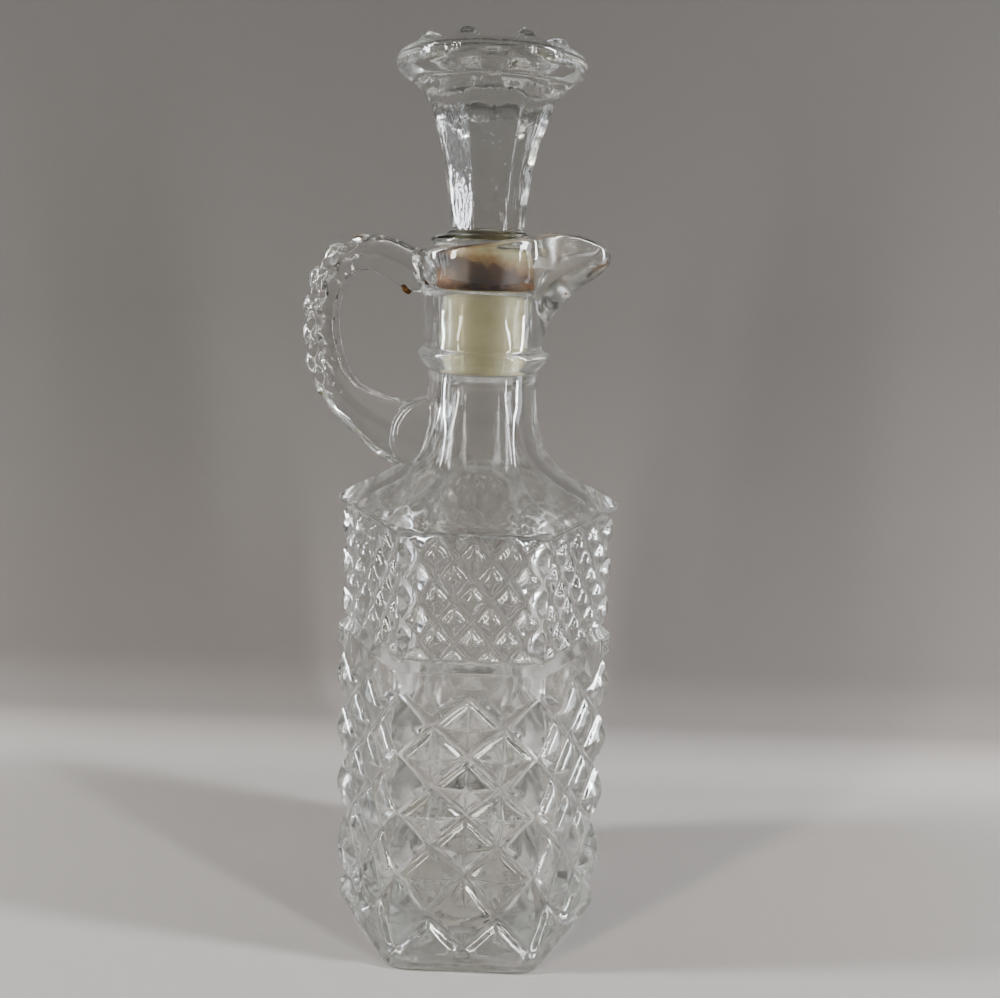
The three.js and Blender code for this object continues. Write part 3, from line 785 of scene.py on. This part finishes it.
def glass(name, seed, haze=0.045, inside=False, streaks=0.0):
    m, nt, bsdf, out = material(name)
    tc = nt.nodes.new("ShaderNodeTexCoord")
    mp = nt.nodes.new("ShaderNodeMapping")
    mp.inputs["Location"].default_value = (seed, seed * 0.7, seed * 1.3)
    nt.links.new(tc.outputs["Object"], mp.inputs["Vector"])
    co = mp.outputs["Vector"]
    # faint uneven film on the glass
    film = add_noise(nt, co, 38, 5, 0.6)
    tint = ramp(nt, film, [(0.30, (0.965, 0.972, 0.962)), (0.55, (0.99, 0.992, 0.988)), (0.8, (0.975, 0.972, 0.955))])
    nt.links.new(tint, bsdf.inputs["Base Color"])
    smear = add_noise(nt, co, 90, 6, 0.62, 0.6)
    rough = ramp(nt, smear, [(0.0, (0.004,) * 3), (0.52, (0.012,) * 3), (0.66, (haze,) * 3), (1.0, (haze * 1.8,) * 3)])
    if inside:
        # the hollow is told from the outer skin by its distance from the faces of the hexagon
        sep = nt.nodes.new("ShaderNodeSeparateXYZ")
        nt.links.new(tc.outputs["Object"], sep.inputs[0])
        px = math_node(nt, "MULTIPLY", sep.outputs["X"], C30)
        py = math_node(nt, "MULTIPLY", sep.outputs["Y"], 0.5)
        near = math_node(nt, "MAXIMUM", math_node(nt, "ABSOLUTE", math_node(nt, "ADD", px, py)),
                         math_node(nt, "ABSOLUTE", math_node(nt, "SUBTRACT", px, py)))
        near = math_node(nt, "MAXIMUM", near, math_node(nt, "ABSOLUTE", sep.outputs["Y"]))
        height = math_node(nt, "MULTIPLY", sep.outputs["Z"], 1 / 0.18)
        limit = ramp(nt, height, [(mm / 180, (v / 40,) * 3) for mm, v in
                                  ((0, 26.3), (104, 26.3), (112, 25.0), (116.8, 19.6), (121.6, 14.0), (129, 10.4), (139, 9.7),
                                   (142, 10.9), (162.2, 10.9), (162.8, 0))])
        mask = math_node(nt, "LESS_THAN", math_node(nt, "MULTIPLY", near, 25.0), limit)
        mask = math_node(nt, "MULTIPLY", mask, math_node(nt, "GREATER_THAN", sep.outputs["Z"], 0.0055))
        # how dull it is by height: oil film in the body, clear throat, ground bore
        dull = ramp(nt, height, [(mm / 180, (v,) * 3) for mm, v in
                                 ((0, 0.9), (66, 0.9), (76, 0.95), (107, 1.05), (114, 1.15), (119, 1.0), (126, 0.95), (138, 0.9), (143, 1.5), (162, 1.5))])
        runs = nt.nodes.new("ShaderNodeMapping")
        runs.inputs["Scale"].default_value = (1.0, 1.0, 0.22)
        nt.links.new(tc.outputs["Object"], runs.inputs["Vector"])
        streak = add_noise(nt, runs.outputs["Vector"], 130, 5, 0.6, 0.3)
        inner = ramp(nt, streak, [(0.25, (0.08,) * 3), (0.5, (0.12,) * 3), (0.75, (0.19,) * 3)])
        inner = math_node(nt, "MULTIPLY", inner, dull)
        # the film is thicker on the far side of the upper body
        far = nt.nodes.new("ShaderNodeMapRange")
        far.inputs["From Min"].default_value = -0.002
        far.inputs["From Max"].default_value = 0.012
        nt.links.new(sep.outputs["Y"], far.inputs["Value"])
        band = ramp(nt, height, [(72 / 180, (0, 0, 0)), (79 / 180, (1, 1, 1)), (113 / 180, (1, 1, 1)), (119 / 180, (0, 0, 0))])
        thick = math_node(nt, "MULTIPLY", far.outputs[0], band)
        inner = math_node(nt, "MULTIPLY", inner, math_node(nt, "ADD", math_node(nt, "MULTIPLY", thick, 0.8), 1.0))
        rough = mix_color(nt, mask, rough, inner)
        inside_tint = ramp(nt, height, [(mm / 180, v) for mm, v in
                                        ((0, (0.975, 0.965, 0.94)), (66, (0.965, 0.957, 0.935)), (78, (0.925, 0.918, 0.90)),
                                         (137, (0.93, 0.922, 0.905)), (143, (0.975, 0.965, 0.93)))])
        inside_tint = mix_color(nt, math_node(nt, "MULTIPLY", thick, 0.75), inside_tint, (0.82, 0.812, 0.795))
        tint = mix_color(nt, mask, tint, inside_tint)
        # greasy brownish film where the last drops ran over the lip
        lip_x = ramp(nt, math_node(nt, "MULTIPLY", sep.outputs["X"], 25.0),
                     [(0.27, (0, 0, 0)), (0.33, (1, 1, 1)), (0.44, (1, 1, 1)), (0.56, (0, 0, 0))])
        lip_z = ramp(nt, height, [(158.5 / 180, (0, 0, 0)), (161.5 / 180, (1, 1, 1))])
        patch = ramp(nt, add_noise(nt, co, 210, 4, 0.6, 0.5), [(0.35, (0.35,) * 3), (0.6, (1, 1, 1))])
        grease = math_node(nt, "MULTIPLY", math_node(nt, "MULTIPLY", lip_x, lip_z), patch)
        rough = mix_color(nt, grease, rough, (0.26, 0.26, 0.26))
        tint = mix_color(nt, grease, tint, (0.93, 0.885, 0.80))
        nt.links.new(tint, bsdf.inputs["Base Color"])
    nt.links.new(rough, bsdf.inputs["Roughness"])
    # slow swell of the pressed surface and fine chill marks
    swell = add_noise(nt, co, 160, 2, 0.5)
    chill = add_noise(nt, co, 900, 3, 0.5)
    both = math_node(nt, "ADD", math_node(nt, "MULTIPLY", swell, 1.0), math_node(nt, "MULTIPLY", chill, 0.12))
    if streaks:
        tall = nt.nodes.new("ShaderNodeMapping")
        tall.inputs["Scale"].default_value = (1.0, 1.0, 0.30)
        nt.links.new(tc.outputs["Object"], tall.inputs["Vector"])
        both = math_node(nt, "ADD", both, math_node(nt, "MULTIPLY", add_noise(nt, tall.outputs["Vector"], 420, 3, 0.55, 0.4), streaks))
        # fine upright lines on the panels of the stem only
        lines = nt.nodes.new("ShaderNodeMapping")
        lines.inputs["Scale"].default_value = (1.0, 1.0, 0.11)
        nt.links.new(tc.outputs["Object"], lines.inputs["Vector"])
        part = nt.nodes.new("ShaderNodeSeparateXYZ")
        nt.links.new(tc.outputs["Object"], part.inputs[0])
        stem = ramp(nt, math_node(nt, "MULTIPLY", part.outputs["Z"], 1 / 0.22),
                    [(0.795, (0, 0, 0)), (0.81, (1, 1, 1)), (0.90, (1, 1, 1)), (0.925, (0, 0, 0))])
        fine = math_node(nt, "MULTIPLY", add_noise(nt, lines.outputs["Vector"], 1300, 2, 0.5, 0.2), stem)
        both = math_node(nt, "ADD", both, math_node(nt, "MULTIPLY", fine, 0.5))
    add_bump(nt, bsdf, both, 0.35, 0.00035)
    bsdf.inputs["Transmission Weight"].default_value = 1.0
    bsdf.inputs["IOR"].default_value = 1.52
    absorb = nt.nodes.new("ShaderNodeVolumeAbsorption")
    absorb.inputs["Color"].default_value = (0.835, 0.85, 0.83, 1)
    absorb.inputs["Density"].default_value = 20.0
    nt.links.new(absorb.outputs["Volume"], out.inputs["Volume"])
    return m


def plastic():
    m, nt, bsdf, out = material("aged_polyethylene")
    tc = nt.nodes.new("ShaderNodeTexCoord")
    sep = nt.nodes.new("ShaderNodeSeparateXYZ")
    nt.links.new(tc.outputs["Object"], sep.inputs[0])
    co = tc.outputs["Object"]
    cloud = add_noise(nt, co, 120, 5, 0.6)
    base = ramp(nt, cloud, [(0.25, (0.43, 0.395, 0.235)), (0.5, (0.52, 0.485, 0.315)), (0.75, (0.61, 0.58, 0.42))])
    speck = add_noise(nt, co, 1500, 2, 0.5)
    specks = ramp(nt, speck, [(0.0, (0, 0, 0)), (0.66, (0, 0, 0)), (0.72, (1, 1, 1))])
    base = mix_color(nt, math_node(nt, "MULTIPLY", specks, 0.55), base, (0.42, 0.36, 0.20))
    # dried oil on the collar, above z = 162 mm, uneven along its lower edge
    edge = add_noise(nt, co, 260, 4, 0.6)
    z = math_node(nt, "ADD", sep.outputs["Z"], math_node(nt, "MULTIPLY", math_node(nt, "SUBTRACT", edge, 0.5), 0.0022))
    zone = nt.nodes.new("ShaderNodeMapRange")
    zone.inputs["From Min"].default_value = 0.1617
    zone.inputs["From Max"].default_value = 0.1623
    nt.links.new(z, zone.inputs["Value"])
    blot = add_noise(nt, co, 330, 6, 0.65, 0.8)
    low = nt.nodes.new("ShaderNodeMapRange")
    low.inputs["From Min"].default_value = 0.1625
    low.inputs["From Max"].default_value = 0.1705
    # the stain stands higher on the side away from the lip
    slant = math_node(nt, "ADD", z, math_node(nt, "MULTIPLY", sep.outputs["X"], 0.20))
    nt.links.new(slant, low.inputs["Value"])
    mixv = math_node(nt, "ADD", low.outputs[0], math_node(nt, "MULTIPLY", math_node(nt, "SUBTRACT", blot, 0.5), 0.55))
    brown = ramp(nt, mixv, [(0.0, (0.10, 0.045, 0.016)), (0.10, (0.05, 0.020, 0.007)), (0.22, (0.035, 0.014, 0.005)),
                            (0.36, (0.065, 0.027, 0.009)), (0.50, (0.06, 0.024, 0.008)), (0.62, (0.085, 0.037, 0.013)),
                            (0.72, (0.24, 0.15, 0.07)), (0.86, (0.37, 0.28, 0.16)), (0.98, (0.42, 0.38, 0.235))])
    # nearly black in front; towards the left and right sides the lower part of the stain turns orange
    side = nt.nodes.new("ShaderNodeMapRange")
    side.inputs["From Min"].default_value = 0.0045
    side.inputs["From Max"].default_value = 0.0105
    nt.links.new(math_node(nt, "ABSOLUTE", math_node(nt, "SUBTRACT", sep.outputs["X"], 0.0003)), side.inputs["Value"])
    stain_low_part = ramp(nt, mixv, [(0.0, (1, 1, 1)), (0.18, (1, 1, 1)), (0.34, (0, 0, 0))])
    brown = mix_color(nt, math_node(nt, "MULTIPLY", math_node(nt, "MULTIPLY", side.outputs[0], stain_low_part), 0.85), brown, (0.36, 0.175, 0.06))
    col = mix_color(nt, zone.outputs[0], base, brown)
    # painted light: the inside of the tube and the top of its collar get a paler colour that stands in for light
    # passing through the plastic
    reach = math_node(nt, "ADD", math_node(nt, "MULTIPLY", sep.outputs["X"], sep.outputs["X"]),
                      math_node(nt, "MULTIPLY", sep.outputs["Y"], sep.outputs["Y"]))
    painted_glow_zone = math_node(nt, "MAXIMUM", math_node(nt, "LESS_THAN", reach, 0.0092 ** 2),
                       math_node(nt, "GREATER_THAN", sep.outputs["Z"], 0.17035))
    col = mix_color(nt, painted_glow_zone, col, (0.62, 0.57, 0.39))
    nt.links.new(col, bsdf.inputs["Base Color"])
    rough = ramp(nt, cloud, [(0.2, (0.38,) * 3), (0.8, (0.50,) * 3)])
    nt.links.new(rough, bsdf.inputs["Roughness"])
    fine = add_noise(nt, co, 700, 3, 0.5)
    add_bump(nt, bsdf, fine, 0.3, 0.0002)
    bsdf.inputs["Specular IOR Level"].default_value = 1.0
    bsdf.inputs["Subsurface Weight"].default_value = 0.4
    bsdf.inputs["Subsurface Radius"].default_value = (1.0, 0.9, 0.6)
    bsdf.inputs["Subsurface Scale"].default_value = 0.003
    bsdf.inputs["IOR"].default_value = 1.5
    return m


def residue():
    m, nt, bsdf, out = material("dried_oil_crust")
    tc = nt.nodes.new("ShaderNodeTexCoord")
    co = tc.outputs["Object"]
    blot = add_noise(nt, co, 420, 6, 0.65, 0.6)
    col = ramp(nt, blot, [(0.25, (0.010, 0.004, 0.002)), (0.45, (0.035, 0.014, 0.005)), (0.6, (0.10, 0.045, 0.015)),
                          (0.8, (0.22, 0.12, 0.05))])
    sep = nt.nodes.new("ShaderNodeSeparateXYZ")
    nt.links.new(co, sep.inputs[0])
    side = nt.nodes.new("ShaderNodeMapRange")
    side.inputs["From Min"].default_value = 0.004
    side.inputs["From Max"].default_value = 0.0095
    nt.links.new(math_node(nt, "ABSOLUTE", sep.outputs["X"]), side.inputs["Value"])
    light = ramp(nt, blot, [(0.3, (0.16, 0.07, 0.022)), (0.7, (0.40, 0.20, 0.075))])
    col = mix_color(nt, math_node(nt, "MULTIPLY", side.outputs[0], 0.8), col, light)
    nt.links.new(col, bsdf.inputs["Base Color"])
    rough = ramp(nt, blot, [(0.3, (0.28,) * 3), (0.7, (0.7,) * 3)])
    nt.links.new(rough, bsdf.inputs["Roughness"])
    add_bump(nt, bsdf, add_noise(nt, co, 1100, 4, 0.6), 0.7, 0.0003)
    return m


def set_material(o, m):
    o.data.materials.clear()
    o.data.materials.append(m)


set_material(bottle, glass("clear_bottle_glass", 0.0, inside=True))
set_material(stopper, glass("clear_stopper_glass", 0.31, streaks=1.5))
set_material(sleeve, plastic())
brown = residue()
for o in (crust, drip, dot):
    set_material(o, brown)

for o, body, nodes, slot in ((bottle, "cruet", ("bottle", "handle"), "bottle_glass"),
                             (stopper, "glass_stopper", ("stopper",), "stopper_glass"),
                             (sleeve, "sleeve", ("stopper_sleeve",), "sleeve_plastic"),
                             (crust, "sleeve", (), "sleeve_plastic"),
                             (drip, "cruet", (), "bottle_glass"),
                             (dot, "cruet", (), "bottle_glass")):
    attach(o, body)
    if nodes:
        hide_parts(*nodes)


# ------------------------------------------------------------------ stage and light
def cyclorama():
    """Pale floor that rises into a darker backdrop behind the object, with painted shade darkening the backdrop towards
    its top.
    """
    prof = [(-1.2, 0.0), (-0.8, 0.0), (-0.3, 0.0), (0.062, 0.0)]
    prof += [(0.062 + 0.03 * math.sin(k * math.pi / 24), 0.03 - 0.03 * math.cos(k * math.pi / 24)) for k in range(1, 13)]
    prof += [(0.096, 0.12), (0.105, 0.30), (0.12, 0.7), (0.14, 1.3)]
    xs = np.linspace(-0.80, 0.80, 9)
    verts = [(x, y, z - 0.00005) for y, z in prof for x in xs]
    faces = []
    for i in range(len(prof) - 1):
        for j in range(len(xs) - 1):
            a = i * len(xs) + j
            faces.append((a, a + 1, a + len(xs) + 1, a + len(xs)))
    mesh = bpy.data.meshes.new("stage_sweep")
    mesh.from_pydata(verts, [], faces)
    mesh.shade_smooth()
    o = bpy.data.objects.new("stage_sweep", mesh)
    bpy.context.scene.collection.objects.link(o)
    m, nt, bsdf, out = material("stage_plain")
    tc = nt.nodes.new("ShaderNodeTexCoord")
    sep = nt.nodes.new("ShaderNodeSeparateXYZ")
    nt.links.new(tc.outputs["Object"], sep.inputs[0])
    share = math_node(nt, "MULTIPLY", sep.outputs["Z"], 4.0)
    # pale floor, a darker backdrop above the fold, and painted shade making the backdrop darker still towards its top
    col = ramp(nt, share, [(0.0, (0.430, 0.404, 0.388)), (0.010, (0.396, 0.372, 0.355)), (0.045, (0.252, 0.231, 0.219)),
                           (0.35, (0.216, 0.201, 0.191)), (0.6, (0.180, 0.169, 0.161)), (1.0, (0.156, 0.148, 0.142))])
    nt.links.new(painted_pool_and_falloff(nt, tc.outputs["Object"], col), bsdf.inputs["Base Color"])
    bsdf.inputs["Roughness"].default_value = 0.95
    bsdf.inputs["Specular IOR Level"].default_value = 0.1
    # clear when looked at from behind
    geo = nt.nodes.new("ShaderNodeNewGeometry")
    clear = nt.nodes.new("ShaderNodeBsdfTransparent")
    mix = nt.nodes.new("ShaderNodeMixShader")
    nt.links.new(geo.outputs["Backfacing"], mix.inputs[0])
    nt.links.new(bsdf.outputs["BSDF"], mix.inputs[1])
    nt.links.new(clear.outputs["BSDF"], mix.inputs[2])
    nt.links.new(mix.outputs[0], out.inputs["Surface"])
    o.data.materials.append(m)


def painted_pool_and_falloff(nt, co, colour):
    """The colour with painted light and shade: much paler just under the object, darker away from the middle of the
    stage.
    """
    away = nt.nodes.new("ShaderNodeVectorMath")
    away.operation = "LENGTH"
    nt.links.new(co, away.inputs[0])
    # painted light: 1.9 times paler under the object's footprint, standing in for light coming through the glass;
    # painted shade: darker beyond about 0.3 m
    share = ramp(nt, math_node(nt, "MULTIPLY", away.outputs["Value"], 0.5),
                 [(0.0, (1.9,) * 3), (0.0135, (1.9,) * 3), (0.0153, (1, 1, 1)), (0.15, (1, 1, 1)), (0.28, (0.68,) * 3), (0.45, (0.5,) * 3), (1.0, (0.5,) * 3)])
    return mix_color(nt, 1.0, colour, share, "MULTIPLY")


def painted_fill_light(nt, co, colour):
    """The colour with painted light: much paler just under the object, and paler far from the lamps."""
    away = nt.nodes.new("ShaderNodeVectorMath")
    away.operation = "LENGTH"
    nt.links.new(co, away.inputs[0])
    # painted light: 1.9 times paler under the object's footprint, and paler beyond about 0.24 m, rising to twice as
    # pale far out
    share = ramp(nt, math_node(nt, "MULTIPLY", away.outputs["Value"], 0.5),
                 [(0.0, (1.9,) * 3), (0.0135, (1.9,) * 3), (0.0153, (1, 1, 1)), (0.12, (1, 1, 1)), (0.35, (1.6,) * 3),
                  (0.7, (2.0,) * 3)])
    return mix_color(nt, 1.0, colour, share, "MULTIPLY")


def floor():
    """Pale floor all round, just under the sweep."""
    mesh = bpy.data.meshes.new("stage_floor")
    xs = np.linspace(-0.80, 0.80, 9)
    verts = [(x, y, -0.00025) for y in xs for x in xs]
    faces = [(i * 9 + j, i * 9 + j + 1, (i + 1) * 9 + j + 1, (i + 1) * 9 + j) for i in range(8) for j in range(8)]
    mesh.from_pydata(verts, [], faces)
    o = bpy.data.objects.new("stage_floor", mesh)
    bpy.context.scene.collection.objects.link(o)
    m, nt, bsdf, out = material("stage_floor_plain")
    tc = nt.nodes.new("ShaderNodeTexCoord")
    soft = add_noise(nt, tc.outputs["Object"], 3, 2, 0.5)
    pale = ramp(nt, soft, [(0.3, (0.415, 0.390, 0.374)), (0.7, (0.440, 0.414, 0.396))])
    nt.links.new(painted_fill_light(nt, tc.outputs["Object"], pale), bsdf.inputs["Base Color"])
    bsdf.inputs["Roughness"].default_value = 0.95
    bsdf.inputs["Specular IOR Level"].default_value = 0.1
    o.data.materials.append(m)


cyclorama()
floor()


def area(name, place, target, width, height, power, colour):
    light = bpy.data.lights.new(name, "AREA")
    light.shape = "RECTANGLE"
    light.size, light.size_y = width, height
    light.energy = power
    light.color = colour
    o = bpy.data.objects.new(name, light)
    bpy.context.scene.collection.objects.link(o)
    o.location = place
    o.rotation_euler = (Vector(target) - Vector(place)).to_track_quat("-Z", "Y").to_euler()
    o.visible_camera = False


area("window_left_a", (-0.86, -0.09, 0.48), (0, 0, 0.30), 0.075, 0.92, 12.2, (0.90, 0.95, 1.0))
area("window_left_b", (-0.62, -0.56, 0.48), (0, 0, 0.30), 0.062, 0.90, 5.0, (1.0, 0.96, 0.84))
area("window_right_a", (0.82, -0.17, 0.47), (0, 0, 0.30), 0.070, 0.90, 11.6, (0.93, 0.965, 1.0))
area("window_right_b", (0.67, -0.52, 0.47), (0, 0, 0.30), 0.050, 0.90, 5.6, (0.97, 0.985, 1.0))
area("soft_ceiling", (0.0, -0.40, 1.20), (0, -0.35, 0.0), 2.0, 1.8, 1.8, (1.0, 0.97, 0.94))
area("low_left_a", (-0.395, -0.144, 0.078), (0, 0, 0.13), 0.035, 0.14, 0.040, (0.80, 0.88, 1.0))
area("low_left_b", (-0.415, -0.066, 0.078), (0, 0, 0.13), 0.050, 0.15, 0.075, (0.76, 0.85, 1.0))
area("low_left_c", (-0.420, 0.012, 0.078), (0, 0, 0.13), 0.030, 0.13, 0.034, (0.80, 0.88, 1.0))
area("low_right", (0.42, -0.03, 0.075), (0, 0, 0.13), 0.10, 0.14, 0.22, (0.90, 0.94, 1.0))

world = bpy.data.worlds.new("room")
bpy.context.scene.world = world
world.use_nodes = True
room = world.node_tree
seen = room.nodes.new("ShaderNodeLightPath")
pick = room.nodes.new("ShaderNodeMix")
pick.data_type = "RGBA"
pick.inputs["A"].default_value = (0.068, 0.066, 0.065, 1)
pick.inputs["B"].default_value = (0.34, 0.326, 0.315, 1)
room.links.new(seen.outputs["Is Camera Ray"], pick.inputs["Factor"])
room.links.new(pick.outputs["Result"], room.nodes["Background"].inputs["Color"])
world.node_tree.nodes["Background"].inputs["Strength"].default_value = 1.0

sc = bpy.context.scene
sc.view_settings.view_transform = "AgX"
sc.view_settings.look = "AgX - High Contrast"
sc.view_settings.exposure = -0.48
sc.cycles.max_bounces = 20
sc.cycles.transmission_bounces = 20
sc.cycles.glossy_bounces = 10
sc.cycles.diffuse_bounces = 3
sc.cycles.caustics_reflective = False
sc.cycles.caustics_refractive = True
sc.cycles.blur_glossy = 0.6
sc.cycles.sample_clamp_indirect = 12
sc.cycles.use_denoising = True
